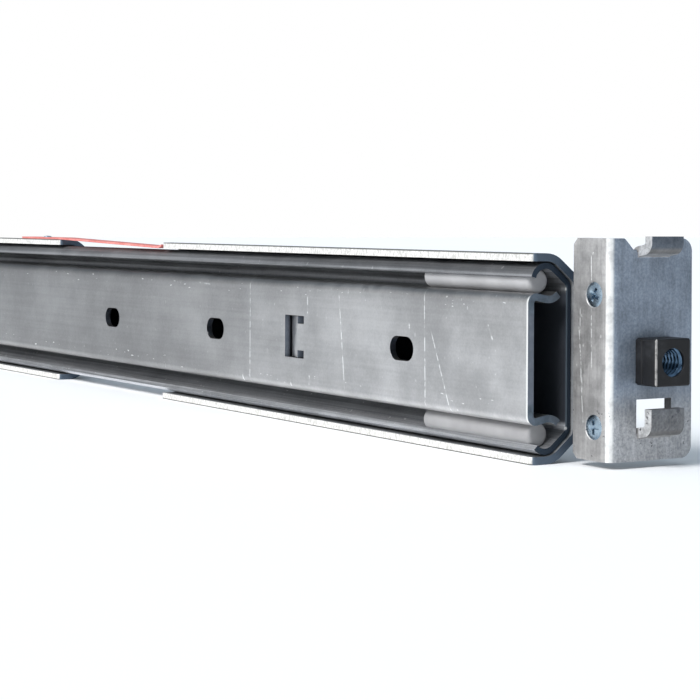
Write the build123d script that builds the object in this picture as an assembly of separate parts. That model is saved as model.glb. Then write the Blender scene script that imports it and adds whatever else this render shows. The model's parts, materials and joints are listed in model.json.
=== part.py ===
from build123d import *
from math import cos, radians, sin, tan
import os

# Telescoping side rail for a rack, galvanised steel, in millimetres.
# Construction frame: X runs along the rail with zero at the front end of the front
# sleeve, Y is zero at the sleeve's lip edges and grows outboard, Z is zero on the
# centreline. The exported part is shifted so that its origin is the front mounting
# thread's axis in the plane of the front flange face.

# Slide lengths and travel
outer_front_x = -0.5
outer_length = 606.0
inner_front_x = 0.5
inner_rear_margin = 11.9
retained_length = 140.1
depth_adjustment = 140.0

# Running and seating clearances
slide_gap = 0.3
seat_gap = 0.02
rivet_gap = 0.02
bolt_gap = 0.2
stop_gap = 0.3

# Nylon glide rods
rod_radius = 2.5
rod_length = 37.6
rod_setback = 2.3
rear_glide_radius = 2.35
rear_glide_length = 34.0
rear_glide_setback = 1.0

# Outer slide member
outer_sheet = 1.2
outer_height = 38.2
outer_lip_y = -0.2
outer_web_y = 9.8
outer_bend_radius = 2.4
upper_lip_angle = 164.0
lower_lip_angle = 136.0
chamfer_angle = 51.0

# Inner slide member
inner_sheet = 1.5
inner_web_y = -1.6
inner_corner_radius = 2.0
flange_ramp_angle = 11.0
inner_lip_angle = 314.0
chassis_slot_length = 9.2
chassis_slot_height = 5.3
chassis_slot_z = -0.4
chassis_slot_setbacks = (45.2, 131.2, 192.8)
chassis_slot_insets = (274.4, 187.7, 22.5)

# Lanced tab in the inner member's web
tab_window_length = 5.9
tab_window_height = 10.0
tab_window_setback = 89.8
tab_window_z = -0.3
tab_relief_length = 2.9
tab_relief_height = 1.7
tab_length = 5.4
tab_lean = 17.0
tab_side_gap = 0.15

# Sleeves that carry the two mounting brackets
sleeve_sheet = 1.6
sleeve_bend_radius = 6.0
sleeve_web_bend_radius = 3.1
sleeve_corner_radius = 1.2
front_sleeve_length = 164.5
rear_sleeve_length = 420.0
rear_sleeve_overhang = 46.5
sleeve_tongue_gap = 0.1
sleeve_tongue_height = 29.0

# Mounting bracket: an L of sheet with two hooks, a window and the square nose
bracket_sheet = 2.0
bracket_top = 24.1
bracket_bottom = -19.6
bracket_setback = 2.6
bracket_bend_radius = 2.4
bracket_corner_cut = 1.2
flange_face_x = 13.6
flange_edge_y = 29.3
flange_corner_radius = 2.6
notch_start_y = 12.2
notch_floor_z = 21.9
notch_slope = 2.0
hook_reach = 4.2
hook_inner_radius = 0.5
hook_side_gap = 0.25
top_hook_root_z = 21.4
top_hook_tip_z = 24.5
top_hook_start_y = 15.3
top_hook_width = 8.1
hook_rise = 0.7
window_start_y = 15.1
window_width = 8.9
window_top_z = -7.5
window_bottom_z = -14.2
lower_hook_tip_z = -9.2

# Countersunk bracket screws
screw_x = 8.95
screw_spread = 26.0
screw_head_radius = 2.6
screw_radius = 1.5
screw_head_depth = 1.15
screw_length = 5.0

# Square nose and its threaded insert
nose_y = 19.4
nose_width = 8.8
nose_height = 9.3
nose_reach = 5.9
nose_base_reach = 1.7
nose_base_margin = 0.2
nose_chamfer = 0.35
insert_radius = 3.8
insert_setback = 0.5
insert_head_radius = 6.0
insert_head_depth = 2.0
thread_radius = 2.5
nose_mouth_radius = 2.8

# Rivets between the outer member and the front sleeve
rivet_radius = 2.0
rivet_head_radius = 3.3
rivet_head_depth = 1.1
sleeve_rivet_setbacks = (42.0, 142.0)

# Clinched studs that clamp the rear sleeve at the chosen depth
stud_insets = (196.5, 31.5)
stud_radius = 2.5
stud_projection = 1.2
slot_height = 6.0
slot_end_margin = 1.2
washer_radius = 6.0
washer_thickness = 1.0
nut_across_flats = 8.0
nut_thickness = 4.0

# Pull-out stop tab lanced from the outer member's web
stop_tab_setback = 20.0
stop_tab_width = 4.0
stop_tab_depth = 3.6
stop_tab_root = 3.0
stop_window_length = 5.4
stop_window_margin = 0.4

# Release lever on the inner member
lever_thickness = 2.4
lever_gap = 0.2
lever_height = 6.0
lever_arm_height = 4.0
lever_end_radius = 2.4
lever_finger_length = 30.0
lever_pivot_offset = 60.0
lever_tail = 4.5
lever_boss_length = 12.0
lever_boss_depth = 4.0
lever_boss_height = 4.0
pivot_radius = 1.6
pivot_bore_gap = 0.05
pivot_head_radius = 3.2
pivot_head_depth = 0.8

# Rear bumper inside the outer member, snapped into a square window
bumper_length = 8.0
bumper_height = 24.4
bumper_depth = 5.4
bumper_corner_cut = 1.0
bumper_plug_size = 4.0

# Sprung leaf on top of the rear sleeve that bears on the outer member
leaf_sheet = 0.6
leaf_width = 4.6
leaf_start_y = 0.2
leaf_seat_length = 30.0
leaf_tip_gap = 1.0
leaf_toe_length = 2.0
leaf_toe_rise = 0.5
leaf_bend_radius = 3.0
leaf_pin_radius = 1.2
leaf_pin_rise = 0.4
leaf_pin_offset = 15.0

# Derived lengths along the rail
outer_rear_x = outer_front_x - outer_length
inner_rear_x = outer_rear_x + inner_rear_margin
inner_length = inner_front_x - inner_rear_x
extension_travel = inner_length - retained_length
rear_sleeve_end = rear_sleeve_overhang - outer_rear_x
rear_sleeve_start = rear_sleeve_end - rear_sleeve_length
stud_places = [outer_rear_x + inset for inset in stud_insets]
front_slot_places = [inner_front_x - setback for setback in chassis_slot_setbacks]
rear_slot_places = [inner_rear_x + inset for inset in chassis_slot_insets]

# Derived raceway geometry, shared by the sections, the rods and the glides
race_inner = rod_radius + seat_gap
race_outer = race_inner + outer_sheet
race_middle = race_inner + outer_sheet / 2
rod_y = outer_lip_y + race_outer
rod_z = outer_height / 2 - race_outer
groove_radius = rod_radius + slide_gap
outer_web_inside = outer_web_y - outer_sheet
inner_web_back = inner_web_y + inner_sheet
sleeve_inside = outer_web_y + slide_gap
sleeve_outside = sleeve_inside + sleeve_sheet
sleeve_half = outer_height / 2 + slide_gap + sleeve_sheet
bracket_face_y = sleeve_inside - bracket_sheet
stud_end_y = sleeve_outside + slide_gap + washer_thickness + nut_thickness + stud_projection
sleeve_tongue_length = flange_face_x - bracket_bend_radius - sleeve_tongue_gap


def upright(section, start_x, length):
    """Extrude a section drawn in (Y, Z) along +X from start_x."""
    return Pos(start_x, 0, 0) * extrude(Plane.YZ * section, amount=length)


def whole_section(upper, thickness, lower=None):
    """Sheet section along an upper half path and one mirrored below the centreline."""
    below = [edge.mirror(Plane.XZ) for edge in lower or upper]
    return trace(Wire(upper + below), line_width=thickness)


def polar(centre_y, centre_z, radius, angle):
    return (centre_y + radius * cos(radians(angle)), centre_z + radius * sin(radians(angle)))


def across(radius, start_y, end_y, x, z):
    """Cylinder along Y between two values of Y."""
    middle = (start_y + end_y) / 2
    return Pos(x, middle, z) * Rot(90, 0, 0) * Cylinder(radius, abs(end_y - start_y))


def along(radius, start_x, end_x, y, z):
    """Cylinder along X between two values of X."""
    return Pos((start_x + end_x) / 2, y, z) * Rot(0, 90, 0) * Cylinder(radius, end_x - start_x)


def obround(length, height, start_y, end_y, x, z):
    """Round-ended slot cutter along Y."""
    shape = Plane.XZ * SlotOverall(length, height)
    return Pos(x, end_y, z) * extrude(shape, amount=end_y - start_y)


def block(start, end):
    """Box between two corners."""
    size = [abs(b - a) for a, b in zip(start, end)]
    middle = [(a + b) / 2 for a, b in zip(start, end)]
    return Pos(*middle) * Box(*size)


def outer_half(lip_angle):
    """Upper half path of the outer member: web, chamfered corner and rolled lip."""
    web_y = outer_web_y - outer_sheet / 2
    start = polar(rod_y, rod_z, race_middle, chamfer_angle)
    corner_z = start[1] - (web_y - start[0]) * tan(radians(90 - chamfer_angle))
    web = FilletPolyline((web_y, 0), (web_y, corner_z), start, radius=outer_bend_radius - outer_sheet / 2)
    lip = CenterArc((rod_y, rod_z), race_middle, chamfer_angle, lip_angle - chamfer_angle)
    return [*web.edges(), *lip.edges()]


def outer_section():
    """C with lips rolled round the raceways, the lower lip opened further for the rod."""
    return whole_section(outer_half(upper_lip_angle), outer_sheet, outer_half(lower_lip_angle))


def inner_section():
    """C that opens outboard, its flanges sloped down into grooves that run on the rods."""
    bend = inner_corner_radius - inner_sheet / 2
    groove = groove_radius + inner_sheet / 2
    web_y = inner_web_y + inner_sheet / 2
    corner_y = inner_web_y + inner_corner_radius
    slope = radians(flange_ramp_angle)
    drop = (bend + groove - (rod_y - corner_y) * sin(slope)) / cos(slope)
    corner_z = rod_z - drop
    leave = 90 - flange_ramp_angle
    web = Line((web_y, 0), (web_y, corner_z))
    corner = CenterArc((corner_y, corner_z), bend, 180, leave - 180)
    ramp = Line(polar(corner_y, corner_z, bend, leave), polar(rod_y, rod_z, groove, leave + 180))
    flange = CenterArc((rod_y, rod_z), groove, leave + 180, inner_lip_angle - leave - 180)
    path = [*web.edges(), *corner.edges(), *ramp.edges(), *flange.edges()]
    return whole_section(path, inner_sheet)


def sleeve_section():
    """C that wraps the outer member with a running gap, with plain straight lips."""
    half = sleeve_sheet / 2
    web_y = sleeve_inside + half
    top_z = sleeve_half - half
    offset_radius = race_outer + slide_gap + half
    touch = polar(rod_y, rod_z, offset_radius, chamfer_angle)
    slope = tan(radians(90 - chamfer_angle))
    web_z = touch[1] - (web_y - touch[0]) * slope
    top_y = touch[0] - (top_z - touch[1]) / slope
    path = FilletPolyline(
        (web_y, 0),
        (web_y, web_z),
        (top_y, top_z),
        (0, top_z),
        radius=(sleeve_web_bend_radius - half, sleeve_bend_radius - half),
    )
    return whole_section([*path.edges()], sleeve_sheet)


def outer_member():
    body = upright(outer_section(), outer_rear_x, outer_length)
    for setback in sleeve_rivet_setbacks:
        body -= across(rivet_radius + rivet_gap, 0, sleeve_inside, -setback, 0)
    for x in stud_places:
        body -= across(stud_radius + rivet_gap, 0, sleeve_inside, x, 0)
    return body - bumper_plug(seat_gap) - stop_window() + stop_tab()


def stop_window():
    half = stop_tab_width / 2 + stop_window_margin
    edge = -stop_tab_setback + outer_sheet / 2
    return block((edge - stop_window_length, outer_web_inside - 1, -half), (edge, outer_web_y + 1, half))


def stop_tab():
    """Tab folded inward from the web, rooted ahead of its window."""
    web_y = outer_web_y - outer_sheet / 2
    path = FilletPolyline(
        (-stop_tab_setback + stop_tab_root, web_y),
        (-stop_tab_setback, web_y),
        (-stop_tab_setback, outer_web_inside - stop_tab_depth),
        radius=outer_sheet / 2 + seat_gap,
    )
    sketch = trace(path, line_width=outer_sheet)
    return Pos(0, 0, -stop_tab_width / 2) * extrude(sketch, amount=stop_tab_width)


def lanced_tab():
    """Spring tab left in the web's window, leaning inward from its front edge."""
    root = Pos(inner_front_x - tab_window_setback, inner_web_y, tab_window_z)
    blade_half = tab_window_height / 2 - tab_side_gap
    neck_half = blade_half - tab_relief_height
    blade = block((-tab_length, 0, -blade_half), (0, inner_sheet, blade_half))
    neck = block((0, 0, -neck_half), (tab_relief_length + inner_sheet, inner_sheet, neck_half))
    return root * Rot(0, 0, -tab_lean) * blade + root * neck


def inner_member():
    body = upright(inner_section(), inner_rear_x, inner_length)
    slot_size = (chassis_slot_length, chassis_slot_height)
    cut_start = inner_web_y - 1
    cut_end = inner_web_back + 1
    for x in front_slot_places + rear_slot_places:
        body -= obround(*slot_size, cut_start, cut_end, x, chassis_slot_z)
    front = inner_front_x - tab_window_setback
    half = tab_window_height / 2
    body -= block(
        (front - tab_window_length, cut_start, tab_window_z - half),
        (front + tab_relief_length, cut_end, tab_window_z + half),
    )
    body -= across(pivot_radius + rivet_gap, cut_start, cut_end, lever_pivot_x(), 0)
    return body + lanced_tab()


def front_glide(side):
    front = outer_front_x - rod_setback
    return along(rod_radius, front - rod_length, front, rod_y, side * rod_z)


def rear_glide(side):
    """Smaller rod seated in the inner member's groove, clear of the outer raceway."""
    rear = inner_rear_x + rear_glide_setback
    drop = groove_radius - rear_glide_radius - seat_gap
    return along(rear_glide_radius, rear, rear + rear_glide_length, rod_y, side * (rod_z - drop))


def sleeve(length):
    """Sleeve with its front end at X zero, plus the tongue that carries the bracket."""
    body = upright(sleeve_section(), -length, length)
    lips = body.edges().filter_by(Axis.Z).group_by(Axis.Y)[0]
    body = fillet(lips, sleeve_corner_radius)
    half = sleeve_tongue_height / 2
    start = (-sleeve_corner_radius, sleeve_inside, -half)
    body += block(start, (sleeve_tongue_length, sleeve_outside, half))
    for side in (-1, 1):
        body -= across(screw_radius + rivet_gap, 0, sleeve_outside + 1, screw_x, side * screw_spread / 2)
    return body


def front_sleeve():
    body = sleeve(front_sleeve_length)
    for setback in sleeve_rivet_setbacks:
        body -= across(rivet_radius + rivet_gap, outer_web_y, sleeve_outside + 1, -setback, 0)
    return body


def rear_sleeve():
    body = to_rear(sleeve(rear_sleeve_length))
    length = depth_adjustment + 2 * (stud_radius + slot_end_margin)
    for x in stud_places:
        middle = x + depth_adjustment / 2
        body -= obround(length, slot_height, outer_web_y, sleeve_outside + 1, middle, 0)
    return body - leaf_pin(rivet_gap)


def to_rear(shape):
    """Turn a front piece end for end and set it at the rear sleeve's end."""
    return Pos(-rear_sleeve_end, 0, 0) * mirror(shape, about=Plane.YZ)


def hook(root_z, tip_z, start_y, width):
    """Tab folded forward out of the flange and up again, parallel to it."""
    middle = flange_face_x - bracket_sheet / 2
    front = flange_face_x + hook_reach - bracket_sheet / 2
    path = FilletPolyline(
        (middle, root_z - 2 * bracket_sheet),
        (middle, root_z),
        (front, root_z + hook_rise),
        (front, tip_z),
        radius=hook_inner_radius + bracket_sheet / 2,
    )
    section = Plane.XZ * trace(path, line_width=bracket_sheet)
    return Pos(0, start_y + width, 0) * extrude(section, amount=width)


def flange_cutter(section):
    """Cut through the flange along X with a section drawn in (Y, Z)."""
    return upright(section, flange_face_x - 2 * bracket_sheet, 3 * bracket_sheet)


def bracket():
    middle_y = bracket_face_y + bracket_sheet / 2
    middle_x = flange_face_x - bracket_sheet / 2
    path = FilletPolyline(
        (bracket_setback, middle_y),
        (middle_x, middle_y),
        (middle_x, flange_edge_y),
        radius=bracket_bend_radius - bracket_sheet / 2,
    )
    height = bracket_top - bracket_bottom
    body = Pos(0, 0, bracket_bottom) * extrude(trace(path, line_width=bracket_sheet), amount=height)
    body = chamfer(body.edges().filter_by(Axis.Y).group_by(Axis.X)[0], bracket_corner_cut)
    body = fillet(body.edges().filter_by(Axis.X).group_by(Axis.Y)[-1], flange_corner_radius)
    over = bracket_top + 1
    hook_end_y = top_hook_start_y + top_hook_width + hook_side_gap
    notch = Polyline(
        (notch_start_y - notch_slope, over),
        (notch_start_y, notch_floor_z + notch_slope),
        (notch_start_y + notch_slope, notch_floor_z),
        (top_hook_start_y - hook_side_gap, notch_floor_z),
        (top_hook_start_y - hook_side_gap, top_hook_root_z),
        (hook_end_y, top_hook_root_z),
        (hook_end_y, over),
        close=True,
    )
    body -= flange_cutter(make_face(notch))
    window = Rectangle(window_width, window_top_z - window_bottom_z)
    centre = (window_start_y + window_width / 2, (window_top_z + window_bottom_z) / 2)
    body -= flange_cutter(Pos(*centre) * window)
    body += hook(top_hook_root_z, top_hook_tip_z, top_hook_start_y, top_hook_width)
    lower_width = window_width - 2 * hook_side_gap
    body += hook(window_bottom_z, lower_hook_tip_z, window_start_y + hook_side_gap, lower_width)
    body -= flange_cutter(Pos(nose_y, 0) * Circle(insert_radius + rivet_gap))
    for side in (-1, 1):
        body -= countersink(side)
    return body


def screw_cone(start_y, start_radius, depth, end_radius, z):
    """Cone whose wide end lies at start_y and which narrows outboard."""
    cone = Cone(end_radius, start_radius, depth)
    return Pos(screw_x, start_y + depth / 2, z) * Rot(90, 0, 0) * cone


def countersink(side):
    z = side * screw_spread / 2
    cone = screw_cone(bracket_face_y, screw_head_radius, screw_head_depth, screw_radius + rivet_gap, z)
    return cone + across(screw_radius + rivet_gap, bracket_face_y, sleeve_outside, screw_x, z)


def bracket_screws():
    """Two countersunk screws, flush with the bracket's inner face."""
    screws = []
    for side in (-1, 1):
        z = side * screw_spread / 2
        head_y = bracket_face_y + rivet_gap
        screw = screw_cone(head_y, screw_head_radius - rivet_gap, screw_head_depth, screw_radius, z)
        screw += across(screw_radius, head_y + screw_head_depth, head_y + screw_length, screw_x, z)
        screws.append(screw.solid())
    return Compound(screws)


def nose_block():
    """Square nose that fills a rack hole, with a slightly larger shoulder at its root."""
    shape = chamfer(Rectangle(nose_width, nose_height).vertices(), nose_chamfer)
    nose = Pos(flange_face_x, nose_y, 0) * extrude(Plane.YZ * shape, amount=nose_reach)
    nose = chamfer(nose.faces().sort_by(Axis.X)[-1].edges(), nose_chamfer / 2)
    base = Plane.YZ * Rectangle(nose_width + 2 * nose_base_margin, nose_height - 2 * nose_chamfer)
    nose += Pos(flange_face_x, nose_y, 0) * extrude(base, amount=nose_base_reach)
    front = flange_face_x + nose_reach
    nose -= along(insert_radius + rivet_gap, flange_face_x, front - insert_setback, nose_y, 0)
    return nose - along(nose_mouth_radius, flange_face_x, front, nose_y, 0)


def thread_insert():
    """Headed bush with the mounting thread, pressed through the flange from behind."""
    back_x = flange_face_x - bracket_sheet
    front_x = flange_face_x + nose_reach - insert_setback
    profile = Polyline(
        (thread_radius, back_x - insert_head_depth),
        (insert_head_radius, back_x - insert_head_depth),
        (insert_head_radius, back_x),
        (insert_radius, back_x),
        (insert_radius, front_x),
        (thread_radius, front_x),
        close=True,
    )
    bush = revolve(Plane.XZ * make_face(profile), axis=Axis.Z)
    return Pos(0, nose_y, 0) * Rot(0, 90, 0) * bush


def headed_pin(x, radius, start_y, end_y, head_radius, head_end_y):
    """Pin along Y on the centreline, with a head from its end to another value of Y."""
    return across(radius, start_y, end_y, x, 0) + across(head_radius, end_y, head_end_y, x, 0)


def sleeve_rivets():
    """Rivets flush inside the channel, with their heads on the sleeve."""
    rivets = []
    head_end_y = sleeve_outside + rivet_head_depth
    for setback in sleeve_rivet_setbacks:
        ends = (outer_web_inside, sleeve_outside)
        rivets.append(headed_pin(-setback, rivet_radius, *ends, rivet_head_radius, head_end_y).solid())
    return Compound(rivets)


def clamp_studs():
    """Studs clinched flush in the outer member's web."""
    return Compound([across(stud_radius, outer_web_inside, stud_end_y, x, 0) for x in stud_places])


def clamp_washers():
    start = sleeve_outside + slide_gap
    rings = []
    for x in stud_places:
        ring = across(washer_radius, start, start + washer_thickness, x, 0)
        ring -= across(stud_radius + bolt_gap, start - 1, start + washer_thickness + 1, x, 0)
        rings.append(ring.solid())
    return Compound(rings)


def clamp_nuts():
    start = sleeve_outside + slide_gap + washer_thickness
    nuts = []
    for x in stud_places:
        hexagon = Plane.XZ * RegularPolygon(nut_across_flats / 2, 6, major_radius=False)
        nut = Pos(x, start + nut_thickness, 0) * extrude(hexagon, amount=nut_thickness)
        nut -= across(stud_radius + rivet_gap, start - 1, start + nut_thickness + 1, x, 0)
        nuts.append(nut.solid())
    return Compound(nuts)


def lever_hook_x():
    """Front face of the lever's catch with the rail closed."""
    return -stop_tab_setback - outer_sheet / 2 - stop_gap - extension_travel


def lever_pivot_x():
    return lever_hook_x() - lever_pivot_offset


def lever_outline(pivot, tip):
    """Side shape of the lever: wide at the pivot eye and the finger end, slim between."""
    wide = lever_height / 2
    slim = lever_arm_height / 2
    upper = [
        (pivot - lever_tail, wide),
        (pivot + lever_tail, wide),
        (pivot + 2 * lever_tail, slim),
        (tip - 3 * lever_tail, slim),
        (tip - 2 * lever_tail, wide),
        (tip, wide),
    ]
    lower = [(x, -z) for x, z in reversed(upper)]
    return make_face(Polyline(*upper, *lower, close=True))


def release_lever():
    """Flat lever with a pivot eye, a ramped catch for the stop tab and a finger end."""
    start_y = inner_web_back + lever_gap
    top = start_y + lever_thickness
    pivot = lever_pivot_x()
    catch = lever_hook_x()
    outline = lever_outline(pivot, catch + lever_finger_length)
    lever = Pos(0, top, 0) * extrude(Plane.XZ * outline, amount=lever_thickness)
    ends = lever.edges().filter_by(Axis.Y).group_by(Axis.X)
    lever = fillet(ends[0] + ends[-1], lever_end_radius)
    catch_section = Polyline(
        (catch - lever_boss_length, top),
        (catch - lever_boss_length / 2, top + lever_boss_depth),
        (catch, top + lever_boss_depth),
        (catch, top - lever_thickness / 2),
        (catch - lever_boss_length, top - lever_thickness / 2),
        close=True,
    )
    boss = extrude(make_face(catch_section), amount=lever_boss_height)
    lever += Pos(0, 0, -lever_boss_height / 2) * boss
    return lever - across(pivot_radius + pivot_bore_gap, start_y - 1, top + 1, pivot, 0)


def lever_pivot():
    """Pin pressed flush into the web, with a head that keeps the lever on."""
    top = inner_web_back + 2 * lever_gap + lever_thickness
    head_end_y = top + pivot_head_depth
    return headed_pin(lever_pivot_x(), pivot_radius, inner_web_y, top, pivot_head_radius, head_end_y)


def bumper_x():
    return inner_rear_x - stop_gap - bumper_length / 2


def bumper_plug(gap):
    """Square plug behind the bumper, flush with the web where the rear sleeve slides."""
    half = bumper_plug_size / 2 + gap
    middle = bumper_x()
    return block((middle - half, outer_web_inside, -half), (middle + half, outer_web_y, half))


def rear_bumper():
    shape = chamfer(Rectangle(bumper_depth, bumper_height).vertices(), bumper_corner_cut)
    middle_y = outer_web_inside - bumper_depth / 2
    pad = Pos(bumper_x() - bumper_length / 2, middle_y, 0) * extrude(Plane.YZ * shape, amount=bumper_length)
    return pad + bumper_plug(0)


def leaf_pin(gap):
    """Rivet down through the leaf and the rear sleeve, standing a little proud on top."""
    bottom = sleeve_half - sleeve_sheet
    height = sleeve_sheet + leaf_sheet + leaf_pin_rise
    y = leaf_start_y + leaf_width / 2
    middle = (-rear_sleeve_start - leaf_pin_offset, y, bottom + height / 2)
    return Pos(*middle) * Cylinder(leaf_pin_radius + gap, height)


def tension_leaf():
    """Leaf riveted on the rear sleeve that slopes down to the outer member's top."""
    top = sleeve_half + leaf_sheet / 2
    low = outer_height / 2 + slide_gap + leaf_sheet / 2
    tip = -front_sleeve_length - leaf_tip_gap
    path = FilletPolyline(
        (-rear_sleeve_start - leaf_seat_length, top),
        (-rear_sleeve_start, top),
        (tip - leaf_toe_length, low),
        (tip, low + leaf_toe_rise),
        radius=leaf_bend_radius,
    )
    section = Plane.XZ * trace(path, line_width=leaf_sheet)
    leaf = Pos(0, leaf_start_y + leaf_width, 0) * extrude(section, amount=leaf_width)
    return leaf - leaf_pin(rivet_gap)


def build_nodes():
    front_bracket = bracket()
    front_screws = bracket_screws()
    front_nose = nose_block()
    front_insert = thread_insert()
    return {
        "outer_member": outer_member(),
        "front_sleeve": front_sleeve(),
        "sleeve_rivets": sleeve_rivets(),
        "front_bracket": front_bracket,
        "front_bracket_screws": front_screws,
        "front_nose_block": front_nose,
        "front_thread_insert": front_insert,
        "upper_front_glide": front_glide(1),
        "lower_front_glide": front_glide(-1),
        "clamp_studs": clamp_studs(),
        "clamp_washers": clamp_washers(),
        "clamp_nuts": clamp_nuts(),
        "rear_bumper": rear_bumper(),
        "inner_member": inner_member(),
        "upper_rear_glide": rear_glide(1),
        "lower_rear_glide": rear_glide(-1),
        "release_lever": release_lever(),
        "lever_pivot": lever_pivot(),
        "rear_sleeve": rear_sleeve(),
        "rear_bracket": to_rear(front_bracket),
        "rear_bracket_screws": to_rear(front_screws),
        "rear_nose_block": to_rear(front_nose),
        "rear_thread_insert": to_rear(front_insert),
        "tension_leaf": tension_leaf(),
        "leaf_rivet": leaf_pin(0),
    }


os.makedirs("parts", exist_ok=True)
for name, shape in build_nodes().items():
    export_step(Pos(-flange_face_x, -nose_y, 0) * shape, f"parts/{name}.step")
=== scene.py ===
import json
from math import cos, pi, radians, sin, tan

import bmesh
import bpy
from mathutils import Matrix, Vector

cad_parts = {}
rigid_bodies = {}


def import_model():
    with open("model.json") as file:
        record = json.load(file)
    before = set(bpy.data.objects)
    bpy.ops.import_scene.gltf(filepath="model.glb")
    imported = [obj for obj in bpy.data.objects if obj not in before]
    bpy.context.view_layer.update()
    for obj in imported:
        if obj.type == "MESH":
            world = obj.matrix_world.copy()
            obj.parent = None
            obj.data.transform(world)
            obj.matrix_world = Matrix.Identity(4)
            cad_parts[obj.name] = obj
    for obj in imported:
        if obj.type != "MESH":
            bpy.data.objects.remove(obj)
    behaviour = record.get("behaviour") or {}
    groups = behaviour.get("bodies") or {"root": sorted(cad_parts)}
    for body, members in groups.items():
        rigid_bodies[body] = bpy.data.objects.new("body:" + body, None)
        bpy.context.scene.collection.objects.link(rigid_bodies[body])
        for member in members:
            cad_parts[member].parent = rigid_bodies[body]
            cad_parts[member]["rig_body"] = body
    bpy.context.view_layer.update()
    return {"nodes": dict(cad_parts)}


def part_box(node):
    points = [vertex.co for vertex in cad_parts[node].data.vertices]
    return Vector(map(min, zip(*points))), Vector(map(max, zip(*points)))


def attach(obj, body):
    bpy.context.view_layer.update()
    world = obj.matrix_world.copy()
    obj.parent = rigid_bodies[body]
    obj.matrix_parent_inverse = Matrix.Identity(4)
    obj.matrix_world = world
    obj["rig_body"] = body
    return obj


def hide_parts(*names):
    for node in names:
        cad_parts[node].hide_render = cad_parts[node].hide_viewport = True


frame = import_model()

MM = 0.001

# Camera: fitted to the photograph, with its horizon above the middle of the picture
CAMERA_PLACE = (0.29358, -0.25334, 0.02760)
CAMERA_AZIMUTH = 58.1
CAMERA_ROLL = 0.3
LENS = 99.98
HORIZON_Y = 219
PICTURE_SIZE = 700

# Studio light: a soft sun, and a surround that is brightest on one side
SUN_FROM = (0.15, -0.75, 0.62)
SUN_STRENGTH = 3.3
SUN_SPREAD = 25
BRIGHT_SIDE = (-0.342, -0.940, 0.0)
SURROUND_BLUE = (0.74, 0.87, 1.0, 1)
SURROUND_WHITE = (1.0, 1.0, 1.0, 1)

# Ends of the main pieces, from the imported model, in millimetres; the floor's height is in metres
WEB_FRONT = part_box("inner_member")[1].x / MM
RAIL_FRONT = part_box("outer_member")[1].x / MM
RAIL_BACK_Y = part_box("outer_member")[1].y / MM
SLEEVE_LIP_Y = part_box("front_sleeve")[0].y / MM
SLEEVE_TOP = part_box("front_sleeve")[1].z / MM
FLOOR_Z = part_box("front_sleeve")[0].z

# Colours of the metals and polymers, and of painted highlight, reflection and shade
# Dark cut steel tinted blue as a painted sky reflection, for the outer member's end faces
NAVY = (0.034, 0.050, 0.072, 1)
# Dark cut steel tinted blue as a painted sky reflection, for the sleeves' end faces
CUT_BLUE = (0.11, 0.145, 0.19, 1)
# Painted highlight: near-white for highlights and glints on edges and bends
HIGHLIGHT_WHITE = (0.95, 0.95, 0.93, 1)
SCRATCH_WHITE = (0.97, 0.97, 0.96, 1)
# Painted shade: near-black put on the inside faces of the channels, where shade falls
CAVITY_SHADE = (0.09, 0.10, 0.12, 1)

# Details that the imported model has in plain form
EDGE_ROUNDING = 0.12 * MM
BUMPER_ROUNDING = 0.4 * MM
LEVER_ROUNDING = 0.2 * MM
LEAF_ROUNDING = 0.1 * MM
ROD_END_ROUNDING = 0.9 * MM
SCREW_HEAD_DEPTH = 1.15 * MM
SCREW_RIM_DEPTH = 0.22 * MM
SCREW_CROWN = 0.10 * MM
SCREW_SHANK_RADIUS = 1.5 * MM
CROSS_REACH, CROSS_WIDTH, CROSS_DEPTH = 1.55 * MM, 0.36 * MM, 0.65 * MM
BUSH_RADIUS, BUSH_HEAD_DEPTH = 3.8 * MM, 2.0 * MM
BORE_RADIUS = 2.5 * MM
BORE_PITCH, BORE_THREAD_DEPTH = 1.0 * MM, 0.5 * MM
STUD_PLAIN_LENGTH = 1.6 * MM
STUD_PITCH, STUD_THREAD_DEPTH = 0.8 * MM, 0.45 * MM
WASHER_BORE_RADIUS, WASHER_EDGE = 2.7 * MM, 0.15 * MM
NUT_HALF_FLATS, NUT_BORE_RADIUS = 4.0 * MM, 2.52 * MM
RINGS_PER_TURN = 10
FLOOR_REACH = 4.0

# Scratches on the inner member's web and on the bracket's plate: two (X, Z) points in
# millimetres and a width
WEB_SCRATCHES = [
    ((-126.0, 11.7), (-126.0, -11.1), 0.28),
    ((-98.3, 9.2), (-98.3, 5.7), 0.35),
    ((-97.4, -9.2), (-97.4, -11.1), 0.35),
    ((-84.1, 9.0), (-81.9, -9.2), 0.25),
    ((-49.5, 10.2), (-49.1, -10.1), 0.25),
    ((-55.3, 5.2), (-55.3, 3.9), 0.3),
    ((-46.2, 2.2), (-40.3, -11.1), 0.22),
    ((-152.6, 11.0), (-147.6, 10.8), 0.25),
    ((-26.4, 6.1), (-25.0, 3.5), 0.3),
    ((-129.6, -10.6), (-129.6, -12.4), 0.4),
    ((-106.0, -10.6), (-106.0, -12.0), 0.4),
]
PLATE_SCRATCHES = [
    ((-5.5, 20.2), (-5.4, 15.6), 0.14),
    ((-5.4, 9.4), (-5.3, -1.0), 0.14),
    ((-8.9, 9.8), (-8.9, 5.7), 0.16),
    ((-9.2, 6.0), (-8.2, -5.0), 0.2),
    ((-8.7, -2.0), (-7.9, -11.6), 0.2),
]


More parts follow.
